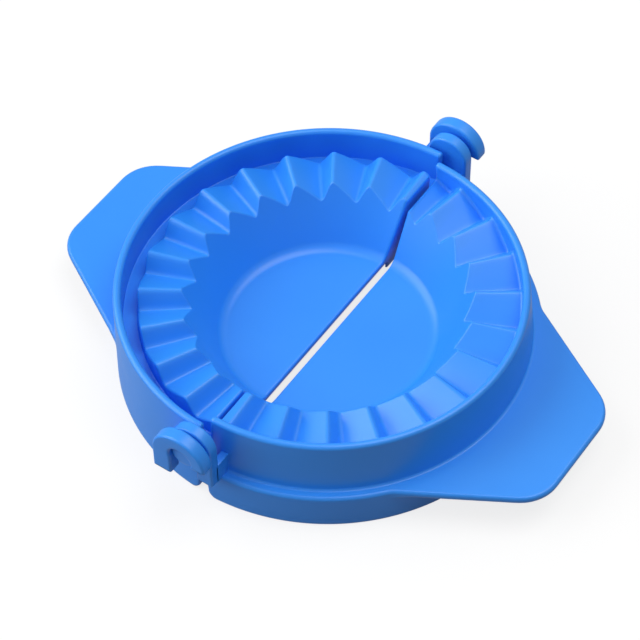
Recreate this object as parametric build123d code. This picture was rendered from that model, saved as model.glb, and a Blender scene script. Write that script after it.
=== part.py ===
from build123d import *
import os
from math import cos, radians, sin, sqrt, tan

# An empanada press: two moulded half-dishes that lie open on the table, side by side.
# Hooks at both ends of one half snap over pins at both ends of the other, and the
# press folds about those pins, so that the pleats of the two halves crimp the dough.
# Millimetres and degrees. +Z is up, the table is z = 0, the hinge lies along Y over the
# origin, the hook half is on the -X side and the pin half is on the +X side.

# ---- the shells ----
rim_radius = 47.5          # outside of the hook half's rim, at its top
rim_height = 23.0          # top of both rims above the table
wall = 1.85                # thickness of every moulded wall
wall_draft = 0.5           # how far the hook half's wall spreads from rim to table
rim_edge = 0.55            # broken edges of both rims
nesting_gap = 1.05         # between the two rims, one inside the other, when closed
inner_rim_spread = 1.2     # how far the pin half's rim spreads down to its ledge
ledge_width = 2.4          # flat step outside the pin half's rim
ledge_height = 9.5         # top of the ledge and of both handles
parting_gap = 0.5          # between the two halves where they meet, at the rims
parting_gap_below = 2.4    # the same at the table: both faces lean, to leave the mould
corner_relief = 2.3        # radius of the skirt's bottom corners beside the parting gap

# ---- the hollow for the filling ----
floor_height = 6.5         # top of the floor
cone_angle = 59.0          # slope of the side, from the table
floor_blend = 5.0          # radius between floor and side

# ---- the pleats ----
pleat_count = 12           # in each half
pleat_width = 9.64         # along a crest, from the hollow to the end wall of the hook half's
pleat_depth = 4.3          # ridge to valley
steep_angle = 4.0          # turn taken by the steep face of a pleat
hook_half_first = 3.0      # turn from the far end to the hook half's first crest
pin_half_first = 6.5       # turn from the far end to the pin half's first valley
crimp_gap = 4.5            # from one half's crests to the other's valleys, when closed
rim_entry_gap = 0.4        # between the hook half's pleats and the rim that enters beside them
groove_spare = 3.8         # groove left under the rim that enters it

# ---- the handles ----
handle_reach = 65.2        # from the hinge line to the handle's end
handle_end_width = 28.6    # across the end, before its corners are rounded
handle_root_width = 64.0   # where the side edges leave the dish, inside its wall
handle_thickness = 2.0
handle_corner = 9.5
handle_root = 8.0          # radius where the side edge runs into the dish
handle_edge = 0.5          # broken edges, above and below

# ---- the snap hinge ----
hinge_drop = 2.4           # from the top of the rims down to the hinge axis
pin_radius = 2.8
pin_length = 2.9
pin_edge = 0.4
running_clearance = 0.05   # between the pin and the hook's bore, on the radius
lug_ring = 2.3             # plastic around the pin, in the lug's round head
lug_thickness = 2.8
lug_gap = 0.3              # from the pin half's skirt to the lug's inner face
lug_leg_width = 4.1
end_play = 0.75            # between the lug and the hook beside it
hook_wall = 3.45           # plastic between the bore and the hook's tip side
hook_thickness = 3.3
hook_tip_drop = 1.1        # how far the hook closes around the pin, below its axis
hook_leg_drop = 7.0        # from the hinge axis to the cut end of the hook's long leg
hook_edge = 0.6            # broken outer edge of the hook's face
arm_clearance = 0.35       # between the lug's head and the arm that carries the hook
arm_thickness = 1.8
arm_height = 4.2           # up from the cut end of the hook's long leg
web_height = 5.5           # web behind the lug, up from the ledge

# ---- sizes that follow from those above ----
HOOK, PIN = -1, 1                                  # the side of the hinge, along X
FAR, NEAR = 1, -1                                  # the end of the hinge, along Y
reach = 4 * (rim_radius + rim_height)              # larger than the whole press

inner_rim_radius = rim_radius - wall - nesting_gap     # outside of the pin half's rim
skirt_radius = inner_rim_radius + inner_rim_spread + ledge_width
hinge_height = rim_height - hinge_drop
nested_rim = 2 * hinge_height - rim_height         # where one rim's top comes, in the other

crest = hinge_height - (crimp_gap - pleat_depth) / 2
valley = crest - pleat_depth
pleat_pitch = 180 / pleat_count
pleat_end = inner_rim_radius - wall - rim_entry_gap    # where the hook half's pleats stop
groove_floor = min(nested_rim - groove_spare, valley - wall)
floor_radius = pleat_end - pleat_width - (crest - floor_height) / tan(radians(cone_angle))

bore_radius = pin_radius + running_clearance
lug_radius = pin_radius + lug_ring
lug_face = skirt_radius + lug_gap                  # inner face, from the middle along Y
hook_face = lug_face + lug_thickness + end_play
arm_inside = lug_radius + arm_clearance
leg_outside = arm_inside + arm_thickness
tip_outside = bore_radius + hook_wall


def line_radius(low, high, height):
    """Radius at a height on the straight line through two (radius, height) points."""
    return low[0] + (high[0] - low[0]) * (height - low[1]) / (high[1] - low[1])


def outer_wall_radius(height):
    """Outside of the hook half's wall."""
    return line_radius((rim_radius + wall_draft, 0), (rim_radius, rim_height), height)


def inner_rim_outside(height):
    """Outside of the pin half's rim."""
    low = (inner_rim_radius + inner_rim_spread, ledge_height)
    return line_radius(low, (inner_rim_radius, rim_height), height)


def side_radius(height):
    """Inside of the sloping side of the hollow."""
    return floor_radius + (height - floor_height) / tan(radians(cone_angle))


def side_back_radius(height):
    """Back of the sloping side of the hollow."""
    return side_radius(height) + wall / sin(radians(cone_angle))


def turned(points):
    """Solid of revolution about Z from a closed (radius, height) outline."""
    outline = Plane.XZ * make_face(Polyline(*points, close=True))
    return revolve(outline, Axis.Z)


def half_gap(height):
    """From the hinge line to either parting face."""
    return line_radius((parting_gap_below, 0), (parting_gap, rim_height), height) / 2


def one_side(shape, side, corner=0):
    """What lies on one side of the parting gap, its corner at the table rounded if asked."""
    top = rim_height + wall
    section = make_face(Polyline((half_gap(0), 0), (reach, 0), (reach, top), (half_gap(top), top),
                                 close=True))
    if corner:
        at_table = section.vertices().group_by(Axis.Y)[0]
        section = fillet(at_table.sort_by(Axis.X)[0], corner)
    return shape & Rot(0, 0, 90 - 90 * side) * extrude(Plane.XZ * section, reach, both=True)


def inside_of(radius_at, top=reach):
    """Everything inside a conical face, from the table up."""
    return turned([(0, 0), (radius_at(0), 0), (radius_at(top), top), (0, top)])


# ---- pleats ----

def pleat_turns(side, index):
    """Turns, from the far end, of a pleat's first valley, its crest and its last valley."""
    if side == HOOK:
        ridge = hook_half_first + index * pleat_pitch
        return ridge + steep_angle - pleat_pitch, ridge, ridge + steep_angle
    start = pin_half_first + index * pleat_pitch
    return start, start + steep_angle, start + pleat_pitch


def pleat_section(side, turns, distance, lower, upper):
    """Cross-section of one pleat, at a distance from the centre along its middle line.

    lower and upper each give two heights, at the valleys and at the crest.
    """
    middle = (turns[0] + turns[2]) / 2

    def corner(turn, height):
        across = distance * tan(radians(turn - middle))
        x = distance * sin(radians(middle)) + across * cos(radians(middle))
        y = distance * cos(radians(middle)) - across * sin(radians(middle))
        return side * x, y, height

    start, ridge, end = turns
    corners = [corner(start, lower[0]), corner(start, upper[0]), corner(ridge, upper[1]),
               corner(end, upper[0]), corner(end, lower[0])]
    if lower[0] != lower[1]:
        corners.append(corner(ridge, lower[1]))
    return make_face(Polyline(*corners, close=True))


def pleated(side, inner, outer, lower, upper):
    """A ring of pleats between two radii, one straight-sided loft for each pleat."""
    ring = []
    for index in range(-1, pleat_count + 1):
        turns = pleat_turns(side, index)
        sections = [pleat_section(side, turns, distance, lower, upper)
                    for distance in (inner, outer)]
        ring.append(loft(sections, ruled=True))
    return Part() + ring


def pleat_skin(side):
    """The pleated sheet itself, one wall thick, wider than it ends up."""
    return pleated(side, floor_radius, skirt_radius, (valley - wall, crest - wall),
                   (valley, crest))


def behind_side(outer_points):
    """Ring-shaped zone between the back of the hollow's side and an outer outline."""
    low, high = valley - 2 * wall, crest + wall
    return turned([(side_back_radius(low), low), *outer_points(low, high),
                   (side_back_radius(high), high)])


def hook_half_pleats():
    """Pleats of the hook half, their end wall and the groove outside it."""
    under = groove_floor - wall
    skin = pleat_skin(HOOK) & behind_side(lambda low, high: [(pleat_end, low), (pleat_end, high)])
    end_wall = pleated(HOOK, floor_radius, skirt_radius, (under, under), (valley, crest))
    end_wall = end_wall & turned([(pleat_end - wall, 0), (pleat_end, 0),
                                  (pleat_end, crest + wall), (pleat_end - wall, crest + wall)])
    groove = turned([(pleat_end - wall, under), (outer_wall_radius(under) - wall, under),
                     (outer_wall_radius(groove_floor) - wall, groove_floor),
                     (pleat_end - wall, groove_floor)])
    return one_side(skin + end_wall + groove, HOOK)


def pin_half_pleats():
    """Pleats of the pin half, which run out to its rim."""
    def rim_inside(low, high):
        return [(inner_rim_outside(low) - wall, low), (inner_rim_outside(high) - wall, high)]
    return one_side(pleat_skin(PIN) & behind_side(rim_inside), PIN)


# ---- hollow, rims and handles ----

def hollow(side):
    """Floor and sloping side that hold the filling, cut along the pleats at the top."""
    under = floor_height - wall
    top = crest + wall
    profile = make_face(Polyline((0, floor_height), (floor_radius, floor_height),
                                 (side_radius(top), top), (side_back_radius(top), top),
                                 (side_back_radius(under), under), (0, under), close=True))
    bend = [v for v in profile.vertices() if abs(v.X - floor_radius) + abs(v.Y - floor_height) < wall / 2]
    profile = fillet(bend, floor_blend)
    bowl = revolve(Plane.XZ * profile, Axis.Z)
    above = pleated(side, floor_radius, skirt_radius, (valley, crest),
                    (top + wall, top + wall))
    return one_side(bowl - above, side)


def crowned_wall(points):
    """Turned wall with both edges of its rim broken."""
    profile = make_face(Polyline(*points, close=True))
    tops = profile.vertices().group_by(Axis.Y)[-1]
    return revolve(Plane.XZ * chamfer(tops, rim_edge), Axis.Z)


def hook_half_rim():
    """Wall of the hook half: one drafted face from the rim to the table."""
    shell = crowned_wall([(outer_wall_radius(0), 0), (rim_radius, rim_height),
                          (rim_radius - wall, rim_height), (outer_wall_radius(0) - wall, 0)])
    return one_side(shell, HOOK, corner_relief)


def pin_half_rim():
    """Wall of the pin half: the rim that nests inside, the ledge and the skirt."""
    under = ledge_height - wall
    shell = crowned_wall([(skirt_radius, 0), (skirt_radius, ledge_height),
                          (inner_rim_outside(ledge_height), ledge_height),
                          (inner_rim_radius, rim_height), (inner_rim_radius - wall, rim_height),
                          (inner_rim_outside(under) - wall, under),
                          (skirt_radius - wall, under), (skirt_radius - wall, 0)])
    return one_side(shell, PIN, corner_relief)


def handle(side, dish, core):
    """Flat tapering tab, flush with the ledge, that runs into the dish's outer wall."""
    inside_wall = dish - wall / 2
    end_y, root_y = handle_end_width / 2, handle_root_width / 2
    root_x = sqrt(inside_wall ** 2 - root_y ** 2)
    tab = make_face(Polyline((root_x, root_y), (handle_reach, end_y),
                             (handle_reach, -end_y), (root_x, -root_y), close=True))
    outline = tab + Circle(inside_wall)
    outline = fillet(outline.vertices().group_by(Axis.X)[-1], handle_corner)
    roots = [v for v in outline.vertices()
             if abs(sqrt(v.X ** 2 + v.Y ** 2) - inside_wall) < wall / 100 and v.X > 0]
    outline = fillet(roots, handle_root)
    plate = extrude(Pos(0, 0, ledge_height - handle_thickness) * outline, handle_thickness)
    free_edges = [e for e in plate.edges().filter_by_position(Axis.X, root_x, reach)
                  if e.bounding_box().size.Z < wall / 100]
    plate = chamfer(free_edges, handle_edge)
    return one_side(Rot(0, 0, 90 - 90 * side) * plate - core, side)


# ---- hinge ----

def upright(profile, distance, thickness, end):
    """Stand an (x, z - hinge height) profile at one end of the hinge."""
    near_edge = distance if end == FAR else -distance - thickness
    plane = Plane(origin=(0, near_edge, hinge_height), x_dir=(1, 0, 0), z_dir=(0, -1, 0))
    return extrude(plane * profile, -thickness)


def is_outside(point):
    """Whether a point on the hook's face lies on its outer outline, above the cut ends."""
    from_axis = sqrt(point.X ** 2 + (point.Z - hinge_height) ** 2)
    return from_axis > tip_outside - hook_edge and point.Z > hinge_height - hook_leg_drop + hook_edge


def hook(end, core):
    """C-shaped hook that snaps over the pin, with the arm that carries it past the lug.

    Its long leg is on the dish's side and its short tip on the other.
    """
    top = ((tip_outside - leg_outside) / 2, tip_outside)
    lip = sqrt(bore_radius ** 2 - hook_tip_drop ** 2)
    outline = Wire([Line((-leg_outside, -hook_leg_drop), (-leg_outside, 0)),
                    ThreePointArc((-leg_outside, 0), top, (tip_outside, 0)),
                    Line((tip_outside, 0), (tip_outside, -hook_tip_drop)),
                    Line((tip_outside, -hook_tip_drop), (lip, -hook_tip_drop)),
                    ThreePointArc((lip, -hook_tip_drop), (0, bore_radius), (-lip, -hook_tip_drop)),
                    Line((-lip, -hook_tip_drop), (-lip, -hook_leg_drop)),
                    Line((-lip, -hook_leg_drop), (-leg_outside, -hook_leg_drop))])
    ring = upright(make_face(outline), hook_face, hook_thickness, end)
    front = ring.faces().sort_by(Axis.Y)[-1 if end == FAR else 0]
    outside = [e for e in front.edges() if is_outside(e @ 0.5)]
    ring = chamfer(outside, hook_edge)
    strip = Pos(-leg_outside, -hook_leg_drop) * Rectangle(arm_thickness, arm_height,
                                                          align=(Align.MIN, Align.MIN))
    arm = upright(strip, rim_radius / 2, hook_face - rim_radius / 2, end) - core
    return ring + arm


def pin_lug(end, core):
    """Round-headed lug on a leg beside the ledge, with its pin and the web behind it."""
    leg_foot = ledge_height - hinge_height
    leg = Pos(lug_radius, 0) * Rectangle(lug_leg_width, -leg_foot, align=(Align.MAX, Align.MAX))
    plate = upright(Circle(lug_radius) + leg, lug_face, lug_thickness, end)
    web = Pos(lug_radius, leg_foot) * Rectangle(wall, web_height, align=(Align.MAX, Align.MIN))
    web = upright(web, rim_radius / 2, lug_face - rim_radius / 2, end) - core
    pin = upright(Circle(pin_radius), lug_face + lug_thickness, pin_length, end)
    tip = pin.faces().sort_by(Axis.Y)[-1 if end == FAR else 0]
    return plate + web + chamfer(tip.edges(), pin_edge)


def main():
    os.makedirs("parts", exist_ok=True)
    hook_core = inside_of(outer_wall_radius)
    pin_core = inside_of(lambda height: skirt_radius)
    rim_core = inside_of(inner_rim_outside)
    pieces = {
        "hook_half_hollow": hollow(HOOK),
        "hook_half_pleats": hook_half_pleats(),
        "hook_half_rim": hook_half_rim(),
        "hook_half_handle": handle(HOOK, outer_wall_radius(ledge_height), hook_core),
        "hook_half_near_hook": hook(NEAR, hook_core),
        "hook_half_far_hook": hook(FAR, hook_core),
        "pin_half_hollow": hollow(PIN),
        "pin_half_pleats": pin_half_pleats(),
        "pin_half_rim": pin_half_rim(),
        "pin_half_handle": handle(PIN, skirt_radius, pin_core),
        "pin_half_near_lug": pin_lug(NEAR, rim_core),
        "pin_half_far_lug": pin_lug(FAR, rim_core),
    }
    for name, piece in pieces.items():
        export_step(piece, f"parts/{name}.step")


main()
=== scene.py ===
import logging
import math
from dataclasses import dataclass, replace
from enum import Enum, IntEnum
from typing import Any, Callable, Sequence

import bmesh
import bpy
from mathutils import Matrix, Vector
from mathutils.geometry import tessellate_polygon


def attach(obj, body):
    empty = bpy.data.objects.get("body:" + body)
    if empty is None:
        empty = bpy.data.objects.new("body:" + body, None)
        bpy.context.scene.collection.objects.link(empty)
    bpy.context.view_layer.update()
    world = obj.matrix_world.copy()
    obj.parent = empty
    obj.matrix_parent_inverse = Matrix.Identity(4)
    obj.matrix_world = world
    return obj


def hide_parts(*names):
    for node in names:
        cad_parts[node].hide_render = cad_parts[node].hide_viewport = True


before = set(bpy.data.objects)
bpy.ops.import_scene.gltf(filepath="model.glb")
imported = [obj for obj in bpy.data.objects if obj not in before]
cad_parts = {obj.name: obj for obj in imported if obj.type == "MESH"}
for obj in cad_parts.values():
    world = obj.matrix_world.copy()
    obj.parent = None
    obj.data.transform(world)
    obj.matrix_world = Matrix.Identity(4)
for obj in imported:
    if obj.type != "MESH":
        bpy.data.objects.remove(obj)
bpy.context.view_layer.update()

# An empanada press lying open: two glossy moulded half dishes with pleated rings, joined
# by hooks that snap over pins. Sizes are in millimetres and turns in degrees, +Z is up,
# the table is z = 0 and the hinge lies along Y over the origin.

logging.basicConfig(level=logging.INFO, format="%(message)s")
LOG = logging.getLogger("empanada_press")

MM = 0.001                 # metres in a millimetre
MERGE = 0.002              # points of one mesh closer than this are one point
STRAIGHT = 0.01            # a corner that turns less than this, in radians, stays plain
SHARP_ANGLE = 38.0         # edges that bend more than this are shaded sharp
SHARPEST_INSET = 0.5       # keeps an inset from running away at a sharp corner
OVERLAP = 1.0              # how deep one piece of a moulding runs into the next
QUARTER = math.pi / 2

Point = tuple[float, float]
Spot = tuple[float, float, float]


class Side(Enum):
    """Side of the hinge that a half lies on, along X."""

    HOOK = -1
    PIN = 1


class End(Enum):
    """End of the hinge, along Y."""

    NEAR = -1
    FAR = 1


class Facets(IntEnum):
    """Facets of a rounded corner, from the smallest kind to the largest."""

    TINY = 2
    EDGE = 3
    SEAT = 4
    RIM = 5
    BACK = 6
    FLOOR = 8


# ---------------------------------------------------------------- outlines


@dataclass(frozen=True)
class Corner:
    """One corner of an outline.

    Attributes:
        across: place along the outline's first direction.
        up: place along its second direction.
        radius: radius that rounds the corner, or 0 for a plain point.
        steps: facets of that rounding.
    """

    across: float
    up: float
    radius: float = 0.0
    steps: int = Facets.SEAT


def rounded(corners: Sequence[Corner]) -> list[Point]:
    """Turn a closed outline's corners into arcs, with the same point count every time.

    Args:
        corners: the corners in order.

    Returns:
        The points of the outline. A corner with a radius gives steps + 1 of them.
    """
    outline: list[Point] = []
    for index, corner in enumerate(corners):
        here = Vector((corner.across, corner.up))
        if not corner.radius:
            outline.append((here.x, here.y))
            continue
        before = corners[index - 1]
        after = corners[(index + 1) % len(corners)]
        back = Vector((before.across, before.up)) - here
        ahead = Vector((after.across, after.up)) - here
        outline.extend(_corner_arc(corner, here, back, ahead))
    return outline


def _corner_arc(corner: Corner, here: Vector, back: Vector, ahead: Vector) -> list[Point]:
    """Points of one rounded corner.

    Args:
        corner: the corner.
        here: its place.
        back: from it to the corner before.
        ahead: from it to the corner after.

    Returns:
        steps + 1 points, all in one place where the corner has no room to be rounded.
    """
    count = corner.steps + 1
    room = min(back.length, ahead.length) / 2
    if room < MERGE:
        return [(here.x, here.y)] * count
    opening = back.angle(ahead)
    if math.pi - opening < STRAIGHT:
        return [(here.x, here.y)] * count
    tangent = min(corner.radius / math.tan(opening / 2), room)
    radius = tangent * math.tan(opening / 2)
    bisector = (back.normalized() + ahead.normalized()).normalized()
    centre = here + bisector * (radius / math.sin(opening / 2))
    first = here + back.normalized() * tangent - centre
    last = here + ahead.normalized() * tangent - centre
    sweep = math.pi - opening
    points = []
    for step in range(count):
        share = step / corner.steps
        spoke = first * math.sin((1 - share) * sweep) + last * math.sin(share * sweep)
        spoke = spoke / math.sin(sweep)
        points.append((centre.x + spoke.x, centre.y + spoke.y))
    return points


def arc(centre: Point, radius: float, start: float, end: float, steps: int) -> list[Corner]:
    """Plain corners along a circle.

    Args:
        centre: the circle's centre.
        radius: its radius.
        start: first angle, from the first direction towards the second.
        end: last angle.
        steps: facets between them.

    Returns:
        steps + 1 corners.
    """
    angles = [math.radians(start + (end - start) * i / steps) for i in range(steps + 1)]
    return [Corner(centre[0] + radius * math.cos(angle), centre[1] + radius * math.sin(angle))
            for angle in angles]


def inset(outline: Sequence[Point], amount: float) -> list[Point]:
    """Shrink a clockwise closed outline.

    Args:
        outline: its points, some of which may lie in one place.
        amount: how far each edge moves inwards.

    Returns:
        As many points, in the same order.
    """
    if not amount:
        return list(outline)
    count = len(outline)
    places = [Vector(p) for p in outline]
    moved: list[Point] = []
    for index, here in enumerate(places):
        behind = (places[index - k] for k in range(1, count))
        ahead = (places[(index + k) % count] for k in range(1, count))
        before = next(place for place in behind if (place - here).length > MERGE)
        after = next(place for place in ahead if (place - here).length > MERGE)
        one = (here - before).normalized()
        two = (after - here).normalized()
        normal = Vector((one.y + two.y, -one.x - two.x))
        if normal.length < MERGE:
            normal = Vector((one.y, -one.x))
        normal.normalize()
        spread = max(SHARPEST_INSET, normal.dot(Vector((one.y, -one.x))))
        shift = here + normal * (amount / spread)
        moved.append((shift.x, shift.y))
    return moved


# ---------------------------------------------------------------- meshes


def make_piece(name: str, spots: Sequence[Spot],
               faces: Sequence[Sequence[int]]) -> bpy.types.Object:
    """Build a closed, smooth-shaded mesh object.

    Args:
        name: the piece's name.
        spots: its points, in millimetres.
        faces: the points of each face.

    Returns:
        The object, in metres, with its origin at the frame's.
    """
    mesh = bpy.data.meshes.new(name)
    shell = bmesh.new()
    corners = [shell.verts.new([value * MM for value in spot]) for spot in spots]
    for face in faces:
        ring = [corners[i] for i in dict.fromkeys(face)]
        if len(ring) > 2 and not shell.faces.get(ring):
            shell.faces.new(ring)
    bmesh.ops.remove_doubles(shell, verts=shell.verts, dist=MERGE * MM)
    bmesh.ops.dissolve_degenerate(shell, edges=shell.edges, dist=MERGE * MM / 4)
    loose = [v for v in shell.verts if not v.link_faces]
    bmesh.ops.delete(shell, geom=loose, context="VERTS")
    bmesh.ops.recalc_face_normals(shell, faces=shell.faces)
    open_edges = sum(1 for e in shell.edges if len(e.link_faces) != 2)
    shell.to_mesh(mesh)
    shell.free()
    for polygon in mesh.polygons:
        polygon.use_smooth = True
    mesh.set_sharp_from_angle(angle=math.radians(SHARP_ANGLE))
    piece = bpy.data.objects.new(name, mesh)
    bpy.context.scene.collection.objects.link(piece)
    weighting = piece.modifiers.new("even_shading", "WEIGHTED_NORMAL")
    weighting.keep_sharp = True
    LOG.info("%s: %d faces, %d open edges", name, len(mesh.polygons), open_edges)
    return piece


def flat_cap(outline: Sequence[Point], first: int) -> list[tuple[int, ...]]:
    """Triangles that fill an outline.

    Args:
        outline: the outline's points.
        first: index of its first point in the mesh.

    Returns:
        The points of each triangle.
    """
    loop = [Vector((x, y, 0.0)) for x, y in outline]
    return [tuple(first + i for i in triangle) for triangle in tessellate_polygon([loop])]


def upright(name: str, corners: Sequence[Corner], height: float, reach: Point, end: End,
            soften: float) -> bpy.types.Object:
    """Stand an outline up across the hinge and give it thickness, with softened edges.

    Args:
        name: the piece's name.
        corners: clockwise outline in X and Z, about the hinge axis.
        height: the hinge axis, above the table.
        reach: nearest and furthest distance from the middle, along the hinge.
        end: the end of the hinge.
        soften: radius of the edges around both faces.

    Returns:
        The piece.
    """
    outline = rounded(corners)
    angles = [QUARTER * step / Facets.EDGE for step in range(Facets.EDGE + 1)]
    layers = [(reach[0] + soften * (1 - math.cos(angle)), soften * (1 - math.sin(angle)))
              for angle in angles]
    layers += [(reach[0] + reach[1] - y, shrink) for y, shrink in reversed(layers)]
    spots: list[Spot] = []
    faces: list[tuple[int, ...]] = []
    count = len(outline)
    for y, shrink in layers:
        spots += [(x, end.value * y, height + z) for x, z in inset(outline, shrink)]
    for layer in range(len(layers) - 1):
        for i in range(count):
            j = (i + 1) % count
            low, high = layer * count, (layer + 1) * count
            faces.append((low + i, low + j, high + j, high + i))
    small = inset(outline, soften)
    faces += flat_cap(small, 0) + flat_cap(small, (len(layers) - 1) * count)
    return make_piece(name, spots, faces)


# ---------------------------------------------------------------- pleats, handle, dish


@dataclass(frozen=True)
class Pleats:
    """The ring of leaning pleats, the same for both halves but for height.

    Attributes:
        count: pleats in each half.
        crest: height of the ridges.
        depth: from ridge to valley.
        steep: turn taken by the steep face.
        hook_half_first: turn from the far end to the hook half's first ridge.
        pin_half_first: turn from the far end to the pin half's first valley.
        soft: half the width over which a ridge or valley is rounded.
        middle_radius: the ring's middle, where its ridges are sampled.
        marks: samples across a ridge or valley, as shares of its rounding.
    """

    count: int = 12
    crest: float = 20.5
    depth: float = 4.3
    steep: float = 4.0
    hook_half_first: float = 3.0
    pin_half_first: float = 6.5
    soft: float = 0.65
    middle_radius: float = 37.0
    marks: tuple[float, ...] = (-1.15, -0.6, 0.0, 0.6, 1.15)

    @property
    def pitch(self) -> float:
        """Turn from one pleat to the next."""
        return 180 / self.count

    @property
    def valley(self) -> float:
        """Height of the valleys."""
        return self.crest - self.depth

    def first(self, side: Side) -> float:
        """Turn at which the first steep face starts."""
        return self.hook_half_first if side is Side.HOOK else self.pin_half_first

    def height(self, side: Side, turn: float, radius: float) -> float:
        """Height of the pleated face.

        Args:
            side: the half.
            turn: turn from the far end of the hinge.
            radius: distance from the middle.

        Returns:
            The height above the table.
        """
        soft = math.degrees(self.soft / radius)
        along = (turn - self.first(side)) % self.pitch
        broad = self.pitch - self.steep
        if along < self.steep:
            height = self.crest - self.depth * along / self.steep
        else:
            height = self.valley + self.depth * (along - self.steep) / broad
        bend = self.depth / self.steep + self.depth / broad
        to_crest = min(along, self.pitch - along)
        to_valley = abs(along - self.steep)
        if to_crest < soft:
            height -= bend * (soft - to_crest) ** 2 / (4 * soft)
        if to_valley < soft:
            height += bend * (soft - to_valley) ** 2 / (4 * soft)
        return height if side is Side.HOOK else self.crest + self.valley - height

    def turns(self, side: Side, coarse: float, extra: Sequence[float]) -> list[float]:
        """Turns at which the ring is sampled, closer together at ridges and valleys.

        Args:
            side: the half.
            coarse: largest step between them.
            extra: more turns to sample.

        Returns:
            The turns, from 0 to 180.
        """
        soft = math.degrees(self.soft / self.middle_radius)
        lines = [self.first(side) + self.pitch * k + step for k in range(-1, self.count + 1)
                 for step in (0, self.steep)]
        samples = {0.0, 180.0, *extra}
        for line in lines:
            samples.update(line + soft * share for share in self.marks)
        kept = sorted(sample for sample in samples if 0 <= sample <= 180)
        turns = [kept[0]]
        for mark in kept[1:]:
            parts = max(1, math.ceil((mark - turns[-1]) / coarse))
            start = turns[-1]
            turns += [start + (mark - start) * k / parts for k in range(1, parts + 1)]
        return turns


@dataclass(frozen=True)
class Handle:
    """Flat tapering tab that runs into the dish's wall.

    Attributes:
        reach: from the hinge line to the handle's end.
        end_width: across its end, before the corners are rounded.
        root_width: where its side edges would meet the wall.
        corner: radius of the end's corners.
        root: radius where a side edge runs into the dish.
        top: height of its top face.
        thickness: from top face to bottom face.
        edge: radius around its edge.
        root_depth: how far inside the wall its side edges start.
        root_steps: facets of the root's radius.
        corner_steps: facets of the end's corners.
        fine_steps: parts of each facet when the wall is matched to it.
    """

    reach: float = 65.2
    end_width: float = 28.6
    root_width: float = 64.0
    corner: float = 9.5
    root: float = 8.0
    top: float = 9.5
    thickness: float = 2.0
    edge: float = 0.85
    root_depth: float = 0.9
    root_steps: int = 12
    corner_steps: int = 16
    fine_steps: int = 8

    def outline(self, dish: float) -> list[Point]:
        """The outline on one side of the centre line.

        Args:
            dish: radius of the dish at the handle.

        Returns:
            Turn from the centre line and distance from the middle, by rising turn.
        """
        inside = dish - self.root_depth
        half_root = self.root_width / 2
        root_point = Vector((math.sqrt(inside ** 2 - half_root ** 2), half_root))
        end_point = Vector((self.reach, self.end_width / 2))
        along = (end_point - root_point).normalized()
        normal = Vector((-along.y, along.x))
        offset = normal.dot(end_point)
        slide = math.sqrt((dish + self.root) ** 2 - (offset + self.root) ** 2)
        centre = normal * (offset + self.root) + along * slide
        start = math.atan2(-centre.y, -centre.x)
        finish = math.atan2(-normal.y, -normal.x)
        angles = [start + (finish - start) * k / self.root_steps for k in range(self.root_steps + 1)]
        points = [centre + Vector((self.root * math.cos(angle), self.root * math.sin(angle)))
                  for angle in angles]
        tip = rounded([Corner(points[-1].x, points[-1].y),
                       Corner(end_point.x, end_point.y, self.corner, self.corner_steps),
                       Corner(self.reach, 0.0)])
        points += [Vector(point) for point in tip[1:]]
        fine: list[Vector] = []
        for one, two in zip(points, points[1:]):
            fine += [one.lerp(two, k / self.fine_steps) for k in range(self.fine_steps)]
        fine.append(points[-1])
        return sorted((math.degrees(math.atan2(point.y, point.x)), point.length) for point in fine)

    def reach_at(self, outline: Sequence[Point], dish: float, turn: float) -> float:
        """Distance from the middle to the outline.

        Args:
            outline: what outline() gave.
            dish: radius of the dish at the handle.
            turn: turn from the far end of the hinge.

        Returns:
            The distance, which is the dish's radius outside the handle.
        """
        aside = abs(turn - 90)
        if aside >= outline[-1][0]:
            return dish
        for low, high in zip(outline, outline[1:]):
            if low[0] <= aside <= high[0]:
                share = (aside - low[0]) / max(high[0] - low[0], 1e-9)
                return max(dish, low[1] + (high[1] - low[1]) * share)
        return outline[0][1]


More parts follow.
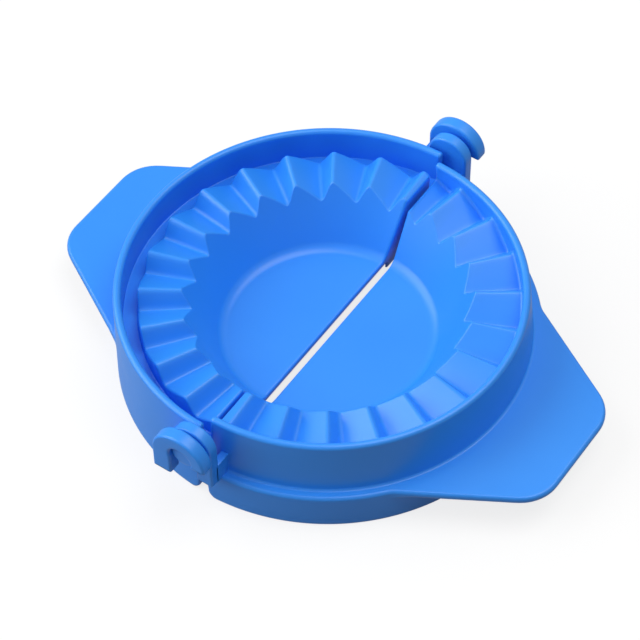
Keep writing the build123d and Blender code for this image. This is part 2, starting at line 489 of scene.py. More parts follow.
@dataclass(frozen=True)
class HalfDish:
    """One moulded half: hollow, pleats, rim, skirt and handle as one skin.

    Attributes:
        side: side of the hinge.
        pleats: its ring of pleats.
        tab: its handle.
        wall: thickness of the mouldings.
        rim_radius: outside of the hook half's rim, at its top.
        rim_height: top of both rims.
        draft: how far the hook half's wall spreads down to the table.
        nesting: gap between the two rims when closed.
        spread: how far the pin half's rim spreads down to its ledge.
        ledge: width of the pin half's ledge.
        floor_height: top of the floor.
        floor_radius: radius of the floor.
        slope: slope of the side, from the table.
        floor_blend: radius between floor and side.
        entry: gap for the other rim beside the hook half's pleats.
        groove_floor: bottom of the groove in the hook half.
        parting: gap between the halves at the rims.
        parting_below: the same at the table.
        relief: radius of the skirt's bottom corners beside that gap.
        edge: radius of the cut edges beside that gap.
        web_turn: turn over which a web closes the cut ends under the pleats.
        web_foot: height of that web's foot.
        web_step: how far outside the floor's back edge the web starts.
        web_side: half the turn over which the web's side rises.
        coarse_turn: largest turn between two cross-sections.
        rim_round: radius of both rims' top edges.
        crest_round: radius where the slope meets the pleats.
        end_round: radius of the pleats' outer ends and of the feet.
        inner_round: radius of the inside corners.
        rim_foot: radius where the pin half's pleats meet its rim.
        ledge_foot: radius where that rim meets the ledge.
        tab_foot: radius where the hook half's wall meets its handle.
    """

    side: Side
    pleats: Pleats = Pleats()
    tab: Handle = Handle()
    wall: float = 1.85
    rim_radius: float = 47.5
    rim_height: float = 23.0
    draft: float = 0.5
    nesting: float = 1.05
    spread: float = 1.2
    ledge: float = 2.4
    floor_height: float = 6.5
    floor_radius: float = 24.3
    slope: float = 59.0
    floor_blend: float = 3.2
    entry: float = 0.4
    groove_floor: float = 14.35
    parting: float = 0.5
    parting_below: float = 2.4
    relief: float = 2.3
    edge: float = 0.55
    web_turn: float = 3.65
    web_foot: float = 2.4
    web_step: float = 0.3
    web_side: float = 0.1
    coarse_turn: float = 1.0
    rim_round: float = 0.92
    crest_round: float = 0.6
    end_round: float = 0.55
    inner_round: float = 0.4
    rim_foot: float = 0.8
    ledge_foot: float = 0.7
    tab_foot: float = 0.5

    @property
    def inner_rim(self) -> float:
        """Outside of the pin half's rim, at its top."""
        return self.rim_radius - self.wall - self.nesting

    @property
    def skirt(self) -> float:
        """Outside of the pin half's skirt."""
        return self.inner_rim + self.spread + self.ledge

    @property
    def pleat_end(self) -> float:
        """Where the hook half's pleats stop."""
        return self.inner_rim - self.wall - self.entry

    def outer_wall(self, height: float) -> float:
        """Outside of the hook half's wall at a height."""
        return self.rim_radius + self.draft * (1 - height / self.rim_height)

    def outer_inside(self, height: float) -> float:
        """Inside of the hook half's wall at a height."""
        return self.outer_wall(height) - self.wall

    def skirt_wall(self, _: float) -> float:
        """Outside of the pin half's skirt, which is the same at every height."""
        return self.skirt

    def skirt_inside(self, _: float) -> float:
        """Inside of the pin half's skirt, which is the same at every height."""
        return self.skirt - self.wall

    def nested_wall(self, height: float) -> float:
        """Outside of the pin half's rim at a height."""
        fall = (self.rim_height - height) / (self.rim_height - self.tab.top)
        return self.inner_rim + self.spread * fall

    def slope_radius(self, height: float) -> float:
        """Inside of the sloping side at a height."""
        rise = height - self.floor_height
        return self.floor_radius + rise / math.tan(math.radians(self.slope))

    def slope_back(self, height: float) -> float:
        """Back of the sloping side at a height."""
        return self.slope_radius(height) + self.wall / math.sin(math.radians(self.slope))

    def half_gap(self, height: float) -> float:
        """From the hinge line to the half's parting face."""
        fall = self.parting_below + (self.parting - self.parting_below) * height / self.rim_height
        return fall / 2

    def held_turn(self, turn: float, radius: float) -> float:
        """Turn, kept out of the parting gap and its rounded edge.

        Args:
            turn: turn from the far end.
            radius: distance from the middle.

        Returns:
            The turn at which the skin stands there.
        """
        least = math.degrees(math.asin((self.half_gap(self.pleats.crest) + self.edge) / radius))
        return min(max(turn, least), 180 - least)

    def section(self, turn: float, outline: Sequence[Point]) -> list[Point]:
        """The skin's cross-section.

        Args:
            turn: turn from the far end.
            outline: the handle's outline.

        Returns:
            Distance from the middle and height of each point: out over the top, back underneath.
        """
        inner = self.held_turn(turn, self.slope_radius(self.pleats.crest))
        outer = self.held_turn(turn, self.pleat_end)
        rise_in = self.pleats.height(self.side, inner, self.slope_radius(self.pleats.crest))
        rise_out = self.pleats.height(self.side, outer, self.pleat_end)
        under = self.floor_height - self.wall
        start = [Corner(0, self.floor_height),
                 Corner(self.floor_radius / 2, self.floor_height),
                 Corner(self.floor_radius, self.floor_height, self.floor_blend, Facets.FLOOR),
                 Corner(self.slope_radius(rise_in), rise_in, self.crest_round, Facets.EDGE)]
        middle = self._hook_middle if self.side is Side.HOOK else self._pin_middle
        outside, hidden = middle(turn, rise_out, outline)
        if min(turn, 180 - turn) < self.web_turn:
            hidden = [replace(corner, up=self.web_foot) for corner in hidden]
            back = [Corner(self.slope_back(under) + self.web_step, self.web_foot),
                    Corner(self.slope_back(under), under, self.inner_round, Facets.BACK)]
        else:
            back = [Corner(self.slope_back(rise_in - self.wall), rise_in - self.wall),
                    Corner(self.slope_back(under), under, self.floor_blend + self.wall, Facets.BACK)]
        finish = [Corner(self.floor_radius / 2, under), Corner(0, under)]
        return rounded(start + outside + hidden + back + finish)

    def _foot(self, outside: Callable[[float], float],
              inside: Callable[[float], float]) -> list[Corner]:
        """Bottom of the outer wall, with points that follow its relieved corners.

        Args:
            outside: outside radius at a height.
            inside: inside radius at a height.

        Returns:
            Corners down the outside, round the foot and up the inside.
        """
        shares = [math.cos(QUARTER * k / Facets.BACK) for k in range(Facets.BACK)]
        heights = [self.relief * (1 - share) for share in reversed(shares)]
        clear = [height for height in heights if height > self.end_round + MERGE]
        down = [Corner(outside(height), height) for height in clear]
        sole = [Corner(outside(0), 0, self.end_round, Facets.TINY),
                Corner(inside(0), 0, self.end_round, Facets.TINY)]
        up = [Corner(inside(height), height) for height in reversed(clear)]
        return down + sole + up

    def _tab_corners(self, wall: Callable[[float], float], turn: float,
                     outline: Sequence[Point]) -> list[Corner]:
        """Ledge or handle: its top edge, its bottom edge and its seat on the wall.

        Args:
            wall: outside radius of the wall under it.
            turn: turn from the far end.
            outline: the handle's outline.

        Returns:
            The three corners.
        """
        top, low = self.tab.top, self.tab.top - self.tab.thickness
        reach = self.tab.reach_at(outline, wall(top), turn)
        seat = wall(low)
        lower_reach = reach if reach - wall(top) > MERGE else seat
        return [Corner(reach, top, self.tab.edge, Facets.SEAT),
                Corner(max(lower_reach, seat), low, self.tab.edge, Facets.SEAT),
                Corner(seat, low, self.inner_round, Facets.TINY)]

    def _hook_middle(self, turn: float, rise: float,
                     outline: Sequence[Point]) -> tuple[list[Corner], list[Corner]]:
        """Pleat ends, groove, rim, handle and foot of the hook half.

        Args:
            turn: turn from the far end.
            rise: height of the pleats at their outer end.
            outline: the handle's outline.

        Returns:
            The corners from the pleats' outer end round to the foot, and those underneath.
        """
        floor = self.groove_floor
        under = floor - self.wall
        shown = [Corner(self.pleat_end, rise, self.end_round, Facets.EDGE),
                 Corner(self.pleat_end, floor, self.inner_round, Facets.TINY),
                 Corner(self.outer_inside(floor), floor, self.inner_round, Facets.TINY),
                 Corner(self.rim_radius - self.wall, self.rim_height, self.rim_round, Facets.RIM),
                 Corner(self.rim_radius, self.rim_height, self.rim_round, Facets.RIM),
                 Corner(self.outer_wall(self.tab.top), self.tab.top, self.tab_foot, Facets.TINY),
                 *self._tab_corners(self.outer_wall, turn, outline),
                 *self._foot(self.outer_wall, self.outer_inside)]
        hidden = [Corner(self.outer_inside(under), under, self.inner_round, Facets.TINY),
                  Corner(self.pleat_end - self.wall, under),
                  Corner(self.pleat_end - self.wall, rise - self.wall)]
        return shown, hidden

    def _pin_middle(self, turn: float, rise: float,
                    outline: Sequence[Point]) -> tuple[list[Corner], list[Corner]]:
        """Rim, ledge, handle and skirt of the pin half.

        Args:
            turn: turn from the far end.
            rise: height of the pleats at the rim.
            outline: the handle's outline.

        Returns:
            The corners from the rim's inner foot round to the skirt's, and those underneath.
        """
        under = self.tab.top - self.wall
        shown = [Corner(self.nested_wall(rise) - self.wall, rise, self.rim_foot, Facets.SEAT),
                 Corner(self.inner_rim - self.wall, self.rim_height, self.rim_round, Facets.RIM),
                 Corner(self.inner_rim, self.rim_height, self.rim_round, Facets.RIM),
                 Corner(self.nested_wall(self.tab.top), self.tab.top, self.ledge_foot, Facets.EDGE),
                 *self._tab_corners(self.skirt_wall, turn, outline),
                 *self._foot(self.skirt_wall, self.skirt_inside)]
        hidden = [Corner(self.skirt - self.wall, under, self.inner_round, Facets.TINY),
                  Corner(self.nested_wall(under) - self.wall, under),
                  Corner(self.nested_wall(rise - self.wall) - self.wall, rise - self.wall)]
        return shown, hidden

    def place(self, point: Point, turn: float, shift: float) -> Spot:
        """Stand a point of a cross-section in the press.

        Args:
            point: its distance from the middle and its height.
            turn: turn from the far end.
            shift: how far inside the cut face the cut edge may come.

        Returns:
            The place.
        """
        radius, height = max(point[0], 0.0), point[1]
        least = self.half_gap(height) + shift
        if radius > self.pleat_end and height < self.relief:
            lift = self.relief - height
            least += self.relief - math.sqrt(max(0.0, self.relief ** 2 - lift ** 2))
        if radius <= least:
            return self.side.value * least, 0.0, height
        x = max(radius * math.sin(math.radians(turn)), least)
        y = math.copysign(math.sqrt(radius ** 2 - x ** 2), 90 - turn)
        return self.side.value * x, y, height

    def cut_columns(self, turn: float,
                    outline: Sequence[Point]) -> list[tuple[list[Point], float, float]]:
        """Columns of points that round the cut edge at one end.

        Args:
            turn: 0 at the far end, 180 at the near end.
            outline: the handle's outline.

        Returns:
            Section, turn and shift of each column, from the cut face inwards.
        """
        whole = self.section(turn, outline)
        columns = []
        for step in range(Facets.EDGE):
            angle = QUARTER * step / Facets.EDGE
            small = inset(whole, self.edge * (1 - math.sin(angle)))
            small[0] = (0.0, small[0][1])
            small[-1] = (0.0, small[-1][1])
            columns.append((small, turn, self.edge * (1 - math.cos(angle))))
        return columns

    def build(self, name: str) -> bpy.types.Object:
        """Build the whole skin of the half.

        Args:
            name: the piece's name.

        Returns:
            The piece.
        """
        dish = self.outer_wall(self.tab.top) if self.side is Side.HOOK else self.skirt
        outline = self.tab.outline(dish)
        columns = self.cut_columns(0.0, outline)
        web_ends = [self.web_turn - self.web_side, self.web_turn + self.web_side]
        web_ends += [180 - turn for turn in web_ends]
        turns = self.pleats.turns(self.side, self.coarse_turn, web_ends)
        columns += [(self.section(turn, outline), turn, self.edge) for turn in turns]
        columns += self.cut_columns(180.0, outline)[::-1]
        spots = [self.place(point, turn, shift)
                 for section, turn, shift in columns for point in section]
        count = len(columns[0][0])
        faces: list[tuple[int, ...]] = []
        for column in range(len(columns) - 1):
            low, high = column * count, (column + 1) * count
            faces += [(low + i, low + i + 1, high + i + 1, high + i) for i in range(count - 1)]
        faces += flat_cap(columns[0][0], 0)
        faces += flat_cap(columns[-1][0], (len(columns) - 1) * count)
        return make_piece(name, spots, faces)


# ---------------------------------------------------------------- hinge


@dataclass(frozen=True)
class SnapHinge:
    """Sizes shared by the hooks and the lugs.

    Attributes:
        height: hinge axis, above the table.
        pin: radius of the pins.
        pin_length: how far a pin stands out of its lug.
        running: clearance between pin and bore, on the radius.
        ring: plastic around the pin in the lug's head.
        lug_near: inner face of the lug, from the middle along the hinge.
        lug_thickness: along the hinge.
        leg_width: width of the lug's leg.
        leg_foot: foot of that leg, above the table.
        play: gap between lug and hook.
        hook_wall: plastic between the bore and the hook's tip side.
        hook_thickness: along the hinge.
        tip_drop: how far the hook closes round the pin.
        leg_drop: from the axis to the cut end of the hook's long leg.
        arm_gap: gap between the lug's head and the arm.
        arm_thickness: thickness of the arm that carries the hook.
        arm_height: height of that arm.
        web_height: height of the web behind the lug.
        round_steps: facets of a full turn round a pin or a lug's head.
        arch_steps: facets of the hook's round back.
        bore_steps: facets of the hook's bore.
    """

    height: float = 20.6
    pin: float = 2.8
    pin_length: float = 2.9
    running: float = 0.05
    ring: float = 2.3
    lug_near: float = 48.5
    lug_thickness: float = 2.8
    leg_width: float = 4.1
    leg_foot: float = 9.5
    play: float = 0.75
    hook_wall: float = 3.45
    hook_thickness: float = 3.3
    tip_drop: float = 1.1
    leg_drop: float = 7.0
    arm_gap: float = 0.35
    arm_thickness: float = 1.8
    arm_height: float = 4.2
    web_height: float = 5.5
    round_steps: int = 36
    arch_steps: int = 28
    bore_steps: int = 24

    @property
    def bore(self) -> float:
        """Radius of the hook's bore."""
        return self.pin + self.running

    @property
    def head(self) -> float:
        """Radius of the lug's head."""
        return self.pin + self.ring

    @property
    def arm_inside(self) -> float:
        """Inner face of the arm, from the hinge axis."""
        return self.head + self.arm_gap

    @property
    def leg_outside(self) -> float:
        """Outer face of the hook's long leg, from the hinge axis."""
        return self.arm_inside + self.arm_thickness

    @property
    def tip_outside(self) -> float:
        """Outer face of the hook's tip, from the hinge axis."""
        return self.bore + self.hook_wall

    @property
    def hook_near(self) -> float:
        """Inner face of the hook, from the middle along the hinge."""
        return self.lug_near + self.lug_thickness + self.play

    def arch(self) -> list[Corner]:
        """Round back of the hook, from its long leg over to its tip.

        Returns:
            The corners.
        """
        width = self.leg_outside + self.tip_outside
        rise = self.tip_outside
        radius = width ** 2 / (8 * rise) + rise / 2
        centre = ((self.tip_outside - self.leg_outside) / 2, rise - radius)
        half = math.degrees(math.asin(width / 2 / radius))
        return arc(centre, radius, 90 + half, 90 - half, self.arch_steps)


@dataclass(frozen=True)
class SnapHook:
    """C-shaped hook of the hook half, with the arm that carries it.

    Attributes:
        end: end of the hinge.
        sizes: the hinge's sizes.
        soften: radius of the hook's edges around both faces.
        corner: radius of the hook's corners.
        lip_corner: radius of its tip beside the pin.
        lip_turn: turn of the bore that the tip's corner takes.
        arm_soften: radius of the arm's edges around both ends.
        arm_corner: radius of the arm's long edges.
        root: how deep the arm runs into the wall.
    """

    end: End
    sizes: SnapHinge = SnapHinge()
    soften: float = 0.6
    corner: float = 0.3
    lip_corner: float = 0.2
    lip_turn: float = 5.0
    arm_soften: float = 0.2
    arm_corner: float = 0.25
    root: float = 0.5

    def build_hook(self, name: str) -> bpy.types.Object:
        """Build the hook itself.

        Args:
            name: the piece's name.

        Returns:
            The piece.
        """
        s = self.sizes
        lip = math.sqrt(s.bore ** 2 - s.tip_drop ** 2)
        closing = math.degrees(math.asin(s.tip_drop / s.bore))
        start = self.lip_turn - closing
        outline = [Corner(-s.leg_outside, -s.leg_drop, self.corner, Facets.TINY),
                   *s.arch(),
                   Corner(s.tip_outside, -s.tip_drop, self.corner, Facets.TINY),
                   Corner(lip, -s.tip_drop, self.lip_corner, Facets.TINY),
                   *arc((0, 0), s.bore, start, 180 - start, s.bore_steps),
                   Corner(-lip, -s.tip_drop),
                   Corner(-lip, -s.leg_drop, self.corner, Facets.TINY)]
        reach = (s.hook_near, s.hook_near + s.hook_thickness)
        return upright(name, outline, s.height, reach, self.end, self.soften)

    def build_arm(self, name: str, wall: float) -> bpy.types.Object:
        """Build the arm that carries the hook past the lug.

        Args:
            name: the piece's name.
            wall: outside radius of the wall that it grows from.

        Returns:
            The piece.
        """
        s = self.sizes
        low = -s.leg_drop
        high = s.arm_height - s.leg_drop
        outline = [Corner(-s.leg_outside, low, self.arm_corner, Facets.TINY),
                   Corner(-s.leg_outside, high, self.arm_corner, Facets.TINY),
                   Corner(-s.arm_inside, high, self.arm_corner, Facets.TINY),
                   Corner(-s.arm_inside, low, self.arm_corner, Facets.TINY)]
        buried = math.sqrt(wall ** 2 - s.leg_outside ** 2) - self.root
        reach = (buried, s.hook_near + s.hook_thickness / 2)
        return upright(name, outline, s.height, reach, self.end, self.arm_soften)


@dataclass(frozen=True)
class PinLug:
    """Lug of the pin half: round head on a leg, a web behind it and the pin in front.

    Attributes:
        end: end of the hinge.
        sizes: the hinge's sizes.
        soften: radius of the lug's edges around both faces.
        corner: radius of the corners of the leg and of the web.
        neck: radius where the leg meets the head.
        neck_turn: turn of the head that the neck takes.
        web_soften: radius of the web's edges around both ends.
        web_drop: how far the web runs below the leg's foot.
        pin_soften: radius of the pin's end.
    """

    end: End
    sizes: SnapHinge = SnapHinge()
    soften: float = 0.5
    corner: float = 0.3
    neck: float = 1.0
    neck_turn: float = 12.0
    web_soften: float = 0.2
    web_drop: float = 0.1
    pin_soften: float = 0.4

    def build_lug(self, name: str) -> bpy.types.Object:
        """Build the head and its leg.

        Args:
            name: the piece's name.

        Returns:
            The piece.
        """
        s = self.sizes
        foot = s.leg_foot - s.height
        inner = s.head - s.leg_width
        meets = math.degrees(math.acos(inner / s.head))
        neck = -s.head * math.sin(math.radians(meets))
        outline = [Corner(inner, foot, self.corner, Facets.TINY),
                   Corner(inner, neck, self.neck, Facets.SEAT),
                   *arc((0, 0), s.head, -meets - self.neck_turn, -360, s.round_steps),
                   Corner(s.head, foot, self.corner, Facets.TINY)]
        reach = (s.lug_near, s.lug_near + s.lug_thickness)
        return upright(name, outline, s.height, reach, self.end, self.soften)

    def build_web(self, name: str, wall: float, thickness: float) -> bpy.types.Object:
        """Build the web that ties the leg to the rim and the ledge.

        Args:
            name: the piece's name.
            wall: outside radius of the rim behind it.
            thickness: thickness of the web.

        Returns:
            The piece.
        """
        s = self.sizes
        foot = s.leg_foot - s.height - self.web_drop
        top = foot + s.web_height
        outline = [Corner(s.head - thickness, foot),
                   Corner(s.head - thickness, top, self.corner, Facets.TINY),
                   Corner(s.head, top, self.corner, Facets.TINY),
                   Corner(s.head, foot)]
        reach = (math.sqrt(wall ** 2 - s.head ** 2) - OVERLAP, s.lug_near + OVERLAP)
        return upright(name, outline, s.height, reach, self.end, self.web_soften)

    def build_pin(self, name: str) -> bpy.types.Object:
        """Build the pin.

        Args:
            name: the piece's name.

        Returns:
            The piece.
        """
        s = self.sizes
        outline = arc((0, 0), s.pin, 360, 360 / s.round_steps, s.round_steps - 1)
        start = s.lug_near + s.lug_thickness
        reach = (start - OVERLAP, start + s.pin_length)
        return upright(name, outline, s.height, reach, self.end, self.pin_soften)


# ---------------------------------------------------------------- materials


class Wire:
    """An output socket that takes part in arithmetic through Math nodes."""

    def __init__(self, graph: "Graph", socket: bpy.types.NodeSocket) -> None:
        """Wrap a socket of a graph."""
        self.graph = graph
        self.socket = socket

    def _math(self, operation: str, first: Any, second: Any) -> "Wire":
        """Add a Math node for one operation on two values."""
        return self.graph.node("ShaderNodeMath", {"operation": operation}, {0: first, 1: second})

    def __add__(self, other: "Wire | float") -> "Wire":
        """Sum."""
        return self._math("ADD", self, other)

    def __radd__(self, other: float) -> "Wire":
        """Sum, with the number first."""
        return self._math("ADD", other, self)

    def __sub__(self, other: "Wire | float") -> "Wire":
        """Difference."""
        return self._math("SUBTRACT", self, other)

    def __rsub__(self, other: float) -> "Wire":
        """Difference from a number."""
        return self._math("SUBTRACT", other, self)

    def __mul__(self, other: "Wire | float") -> "Wire":
        """Product."""
        return self._math("MULTIPLY", self, other)

    def __rmul__(self, other: float) -> "Wire":
        """Product, with the number first."""
        return self._math("MULTIPLY", other, self)


@dataclass(frozen=True)
class Noise:
    """A noise pattern.

    Attributes:
        scale: its patches, per metre.
        detail: how many finer layers it has.
        rough: how strong those layers are.
    """

    scale: float
    detail: float
    rough: float = 0.5


class Graph:
    """The node graph of one material or world."""

    def __init__(self, tree: bpy.types.NodeTree) -> None:
        """Start from an empty tree."""
        self.tree = tree
        tree.nodes.clear()

    def node(self, kind: str, settings: dict[str, Any] | None = None,
             values: dict[int | str, Any] | None = None, output: int | str = 0) -> Wire:
        """Add a node.

        Args:
            kind: the node's type.
            settings: its properties, set first.
            values: numbers, colours or wires for its inputs, by name or place.
            output: the output that is wanted.

        Returns:
            That output.
        """
        made = self.tree.nodes.new(kind)
        for key, value in (settings or {}).items():
            setattr(made, key, value)
        for key, value in (values or {}).items():
            if isinstance(value, Wire):
                self.tree.links.new(value.socket, made.inputs[key])
            else:
                made.inputs[key].default_value = value
        return Wire(self, made.outputs[output] if made.outputs else made.inputs[0])

    def noise(self, where: Wire, pattern: Noise) -> Wire:
        """Noise over the object, from 0 to 1.

        Args:
            where: the place that it is read at.
            pattern: the pattern.

        Returns:
            The noise.
        """
        settings = {"noise_dimensions": "3D"}
        values = {"Vector": where, "Scale": pattern.scale, "Detail": pattern.detail,
                  "Roughness": pattern.rough}
        return self.node("ShaderNodeTexNoise", settings, values, "Fac")

    def clamped(self, value: Wire) -> Wire:
        """Value held between 0 and 1."""
        return self.node("ShaderNodeClamp", {}, {"Value": value})

    def backdrop_seen(self, mirrored: float) -> Wire:
        """How much of a backdrop a ray shows: all, a share in reflections, or none.

        Args:
            mirrored: the share in glossy reflections.

        Returns:
            The share, from 0 to 1.
        """
        camera = self.node("ShaderNodeLightPath", output="Is Camera Ray")
        mirror = self.node("ShaderNodeLightPath", output="Is Glossy Ray")
        through = self.node("ShaderNodeLightPath", output="Is Transmission Ray")
        return camera + mirror * mirrored + through

    def blend(self, share: "Wire | float", first: Any, second: Any) -> Wire:
        """Mix of two colours, by a share that is held between 0 and 1.

        Args:
            share: share of the second.
            first: the first colour.
            second: the second colour.

        Returns:
            The mixed colour.
        """
        settings = {"data_type": "RGBA", "clamp_factor": True}
        return self.node("ShaderNodeMix", settings, {0: share, 6: first, 7: second}, 2)


Colour = tuple[float, float, float, float]
BLACK: Colour = (0.0, 0.0, 0.0, 1.0)
WHITE: Colour = (1.0, 1.0, 1.0, 1.0)


@dataclass(frozen=True)
class MouldedPlastic:
    """Glossy injection-moulded plastic.

    Attributes:
        name: the material's name.
        body: its colour.
        cloud: the colour where the melt is a little paler.
        roughness: its mean roughness.
        ior: its index of refraction.
        reflection: level of its mirror reflection, where 0.5 is what the index gives.
        clouds: patches of the paler colour.
        contrast: how sharply those patches stand out.
        cover: how far they are held back.
        flow: flow marks of the melt.
        flow_rough: how much they change the roughness.
        flow_relief: how much they change the relief.
        grain: fine grain of the mould.
        grain_rough: how much it changes the roughness.
        grain_relief: how much it changes the relief.
        relief_strength: strength of the surface's relief.
        relief_depth: depth of that relief, in metres.
    """

    name: str = "blue_polypropylene"
    body: Colour = (0.022, 0.265, 0.92, 1.0)
    cloud: Colour = (0.034, 0.305, 0.97, 1.0)
    roughness: float = 0.32
    ior: float = 1.49
    reflection: float = 0.5
    clouds: Noise = Noise(26.0, 3.0)
    contrast: float = 1.6
    cover: float = 0.3
    flow: Noise = Noise(160.0, 4.0, 0.6)
    flow_rough: float = 0.10
    flow_relief: float = 0.4
    grain: Noise = Noise(1400.0, 2.0)
    grain_rough: float = 0.05
    grain_relief: float = 0.12
    relief_strength: float = 0.16
    relief_depth: float = 0.00006

    def make(self) -> bpy.types.Material:
        """Build the material.

        Returns:
            The material.
        """
        material = bpy.data.materials.new(self.name)
        material.use_nodes = True
        graph = Graph(material.node_tree)
        where = graph.node("ShaderNodeTexCoord", output="Object")
        clouds = graph.noise(where, self.clouds)
        grain = graph.noise(where, self.grain)
        flow = graph.noise(where, self.flow)
        colour = graph.blend(clouds * self.contrast - self.cover, self.body, self.cloud)
        rough = self.roughness + (flow - 0.5) * self.flow_rough + (grain - 0.5) * self.grain_rough
        relief = flow * self.flow_relief + grain * self.grain_relief
        bump = graph.node("ShaderNodeBump", {}, {
            "Strength": self.relief_strength,
            "Distance": self.relief_depth,
            "Height": relief})
        shader = graph.node("ShaderNodeBsdfPrincipled", {}, {
            "Base Color": colour,
            "Roughness": rough,
            "Normal": bump,
            "IOR": self.ior,
            "Specular IOR Level": self.reflection})
        graph.node("ShaderNodeOutputMaterial", {}, {"Surface": shader})
        return material


@dataclass(frozen=True)
class Paper:
    """White ground that keeps a faint shadow.

    Attributes:
        name: the material's name.
        tone: how much of the lamps' light it returns.
        glow: what the camera and reflections see besides.
        mirrored: share of that glow in glossy reflections.
    """

    name: str = "white_ground"
    tone: float = 0.20
    glow: float = 0.80
    mirrored: float = 0.35

    def make(self) -> bpy.types.Material:
        """Build the material.

        Returns:
            The material.
        """
        material = bpy.data.materials.new(self.name)
        material.use_nodes = True
        graph = Graph(material.node_tree)
        shader = graph.node("ShaderNodeBsdfPrincipled", {}, {
            "Base Color": (self.tone, self.tone, self.tone, 1.0),
            "Roughness": 1.0,
            "Specular IOR Level": 0.0,
            "Emission Color": graph.blend(graph.backdrop_seen(self.mirrored), BLACK, WHITE),
            "Emission Strength": self.glow})
        graph.node("ShaderNodeOutputMaterial", {}, {"Surface": shader})
        return material


# ---------------------------------------------------------------- stage


@dataclass(frozen=True)
class Lamp:
    """A soft square lamp that points at the press.

    Attributes:
        name: its name.
        place: where it hangs, in metres.
        size: its width, in metres.
        power: its power in watts.
    """

    name: str
    place: Spot
    size: float
    power: float

    def hang(self) -> None:
        """Add the lamp to the scene."""
        data = bpy.data.lights.new(self.name, "AREA")
        data.shape = "SQUARE"
        data.size = self.size
        data.energy = self.power
        lamp = bpy.data.objects.new(self.name, data)
        lamp.location = self.place
        lamp.rotation_euler = (-Vector(self.place)).to_track_quat("-Z", "Y").to_euler()
        bpy.context.scene.collection.objects.link(lamp)


@dataclass(frozen=True)
class Camera:
    """Long-lens camera that looks down on the open press.

    Attributes:
        azimuth: turn from the -Y side towards +X.
        elevation: above the horizon.
        distance: from the origin, in millimetres.
        right: sideways shift of the whole camera, in millimetres.
        up: upward shift of the whole camera, in millimetres.
        roll: turn about the line of sight.
        lens: focal length.
        sensor: width of the sensor.
    """

    azimuth: float = 35.3002
    elevation: float = 51.2427
    distance: float = 560.125
    right: float = -2.04
    up: float = 6.48
    roll: float = -0.9639
    lens: float = 138.54
    sensor: float = 36.0

    def place(self) -> None:
        """Add the camera and make it the scene's."""
        turn, lift, roll = (math.radians(a) for a in (self.azimuth, self.elevation, self.roll))
        back = Vector((math.sin(turn) * math.cos(lift),
                       -math.cos(turn) * math.cos(lift),
                       math.sin(lift)))
        level = Vector((math.cos(turn), math.sin(turn), 0.0))
        upright_way = back.cross(level)
        right = level * math.cos(roll) + upright_way * math.sin(roll)
        up = upright_way * math.cos(roll) - level * math.sin(roll)
        data = bpy.data.cameras.new("camera")
        data.lens = self.lens
        data.sensor_width = self.sensor
        camera = bpy.data.objects.new("camera", data)
        spot = (back * self.distance + right * self.right + up * self.up) * MM
        aim = Matrix((right, up, back)).transposed().to_4x4()
        camera.matrix_world = Matrix.Translation(spot) @ aim
        bpy.context.scene.collection.objects.link(camera)
        bpy.context.scene.camera = camera


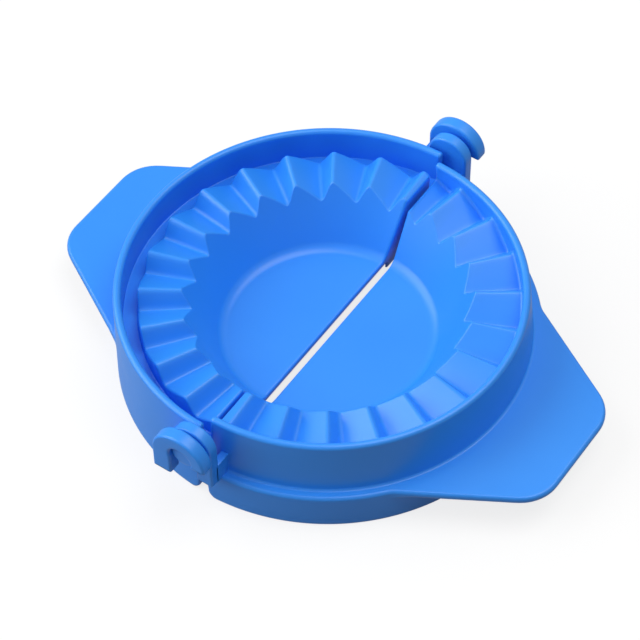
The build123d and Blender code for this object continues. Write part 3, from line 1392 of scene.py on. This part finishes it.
@dataclass(frozen=True)
class Studio:
    """Ground, lamps, world and camera.

    Attributes:
        ground_width: width of the ground, in metres.
        horizon: light from the sides.
        zenith: light from above.
        backdrop: what the camera and reflections see of the world.
        mirrored: share of that in glossy reflections.
        lamps: the lamps.
    """

    ground_width: float = 6.0
    horizon: float = 0.15
    zenith: float = 0.48
    backdrop: float = 1.0
    mirrored: float = 0.35
    lamps: tuple[Lamp, ...] = (Lamp("left_lamp", (-0.99, -0.42, 0.80), 1.25, 12.4),
                               Lamp("overhead_lamp", (0.26, 0.31, 1.25), 0.9, 7.2),
                               Lamp("near_lamp", (-0.82, -0.88, 0.30), 0.9, 3.4))

    def build(self) -> None:
        """Add everything that isn't part of the press."""
        half = self.ground_width / 2
        corners = [(-half, -half, 0), (half, -half, 0), (half, half, 0), (-half, half, 0)]
        mesh = bpy.data.meshes.new("ground")
        mesh.from_pydata(corners, [], [(0, 1, 2, 3)])
        ground = bpy.data.objects.new("ground", mesh)
        ground.data.materials.append(Paper().make())
        bpy.context.scene.collection.objects.link(ground)
        for lamp in self.lamps:
            lamp.hang()
        self._light_world()
        Camera().place()
        bpy.context.scene.view_settings.view_transform = "Standard"

    def _light_world(self) -> None:
        """Give the world its even light, and white to the camera and reflections."""
        world = bpy.data.worlds.new("studio")
        world.use_nodes = True
        bpy.context.scene.world = world
        graph = Graph(world.node_tree)
        way = graph.node("ShaderNodeTexCoord", output="Generated")
        rise = graph.node("ShaderNodeSeparateXYZ", {}, {"Vector": way}, "Z")
        level = self.horizon + graph.clamped(rise) * (self.zenith - self.horizon)
        strength = level + graph.backdrop_seen(self.mirrored) * (self.backdrop - level)
        sky = graph.node("ShaderNodeBackground", {}, {"Color": WHITE, "Strength": strength})
        graph.node("ShaderNodeOutputWorld", {}, {"Surface": sky})


# ---------------------------------------------------------------- the press


@dataclass
class Moulding:
    """One half of the press with what is moulded on it, riding on one body.

    Attributes:
        side: side of the hinge.
        body: the body it rides on.
        finish: its material.
        regions: the nodes that its skin stands for.
    """

    side: Side
    body: str
    finish: bpy.types.Material
    regions: tuple[str, ...] = ("hollow", "pleats", "rim", "handle")

    def dress(self, piece: bpy.types.Object, *nodes: str) -> None:
        """Finish a piece, make it ride and let it stand for CAD nodes.

        Args:
            piece: the piece.
            nodes: the nodes that it replaces.
        """
        piece.data.materials.append(self.finish)
        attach(piece, self.body)
        if nodes:
            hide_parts(*nodes)

    def build(self) -> None:
        """Build the half and its part of the hinge."""
        dish = HalfDish(self.side)
        self.dress(dish.build(f"{self.body}_skin"),
                   *(f"{self.body}_{region}" for region in self.regions))
        for end in End:
            word = end.name.lower()
            if self.side is Side.HOOK:
                hook = SnapHook(end)
                wall = dish.outer_wall(hook.sizes.height)
                self.dress(hook.build_hook(f"{word}_hook"), f"{self.body}_{word}_hook")
                self.dress(hook.build_arm(f"{word}_hook_arm", wall))
            else:
                lug = PinLug(end)
                wall = dish.nested_wall(lug.sizes.leg_foot)
                self.dress(lug.build_lug(f"{word}_lug"), f"{self.body}_{word}_lug")
                self.dress(lug.build_web(f"{word}_lug_web", wall, dish.wall))
                self.dress(lug.build_pin(f"{word}_pin"))


def main() -> None:
    """Build the press and the studio round it."""
    plastic = MouldedPlastic().make()
    for side, body in ((Side.HOOK, "hook_half"), (Side.PIN, "pin_half")):
        Moulding(side, body, plastic).build()
        LOG.info("%s is dressed", body)
    Studio().build()


if __name__ == "__main__":
    main()
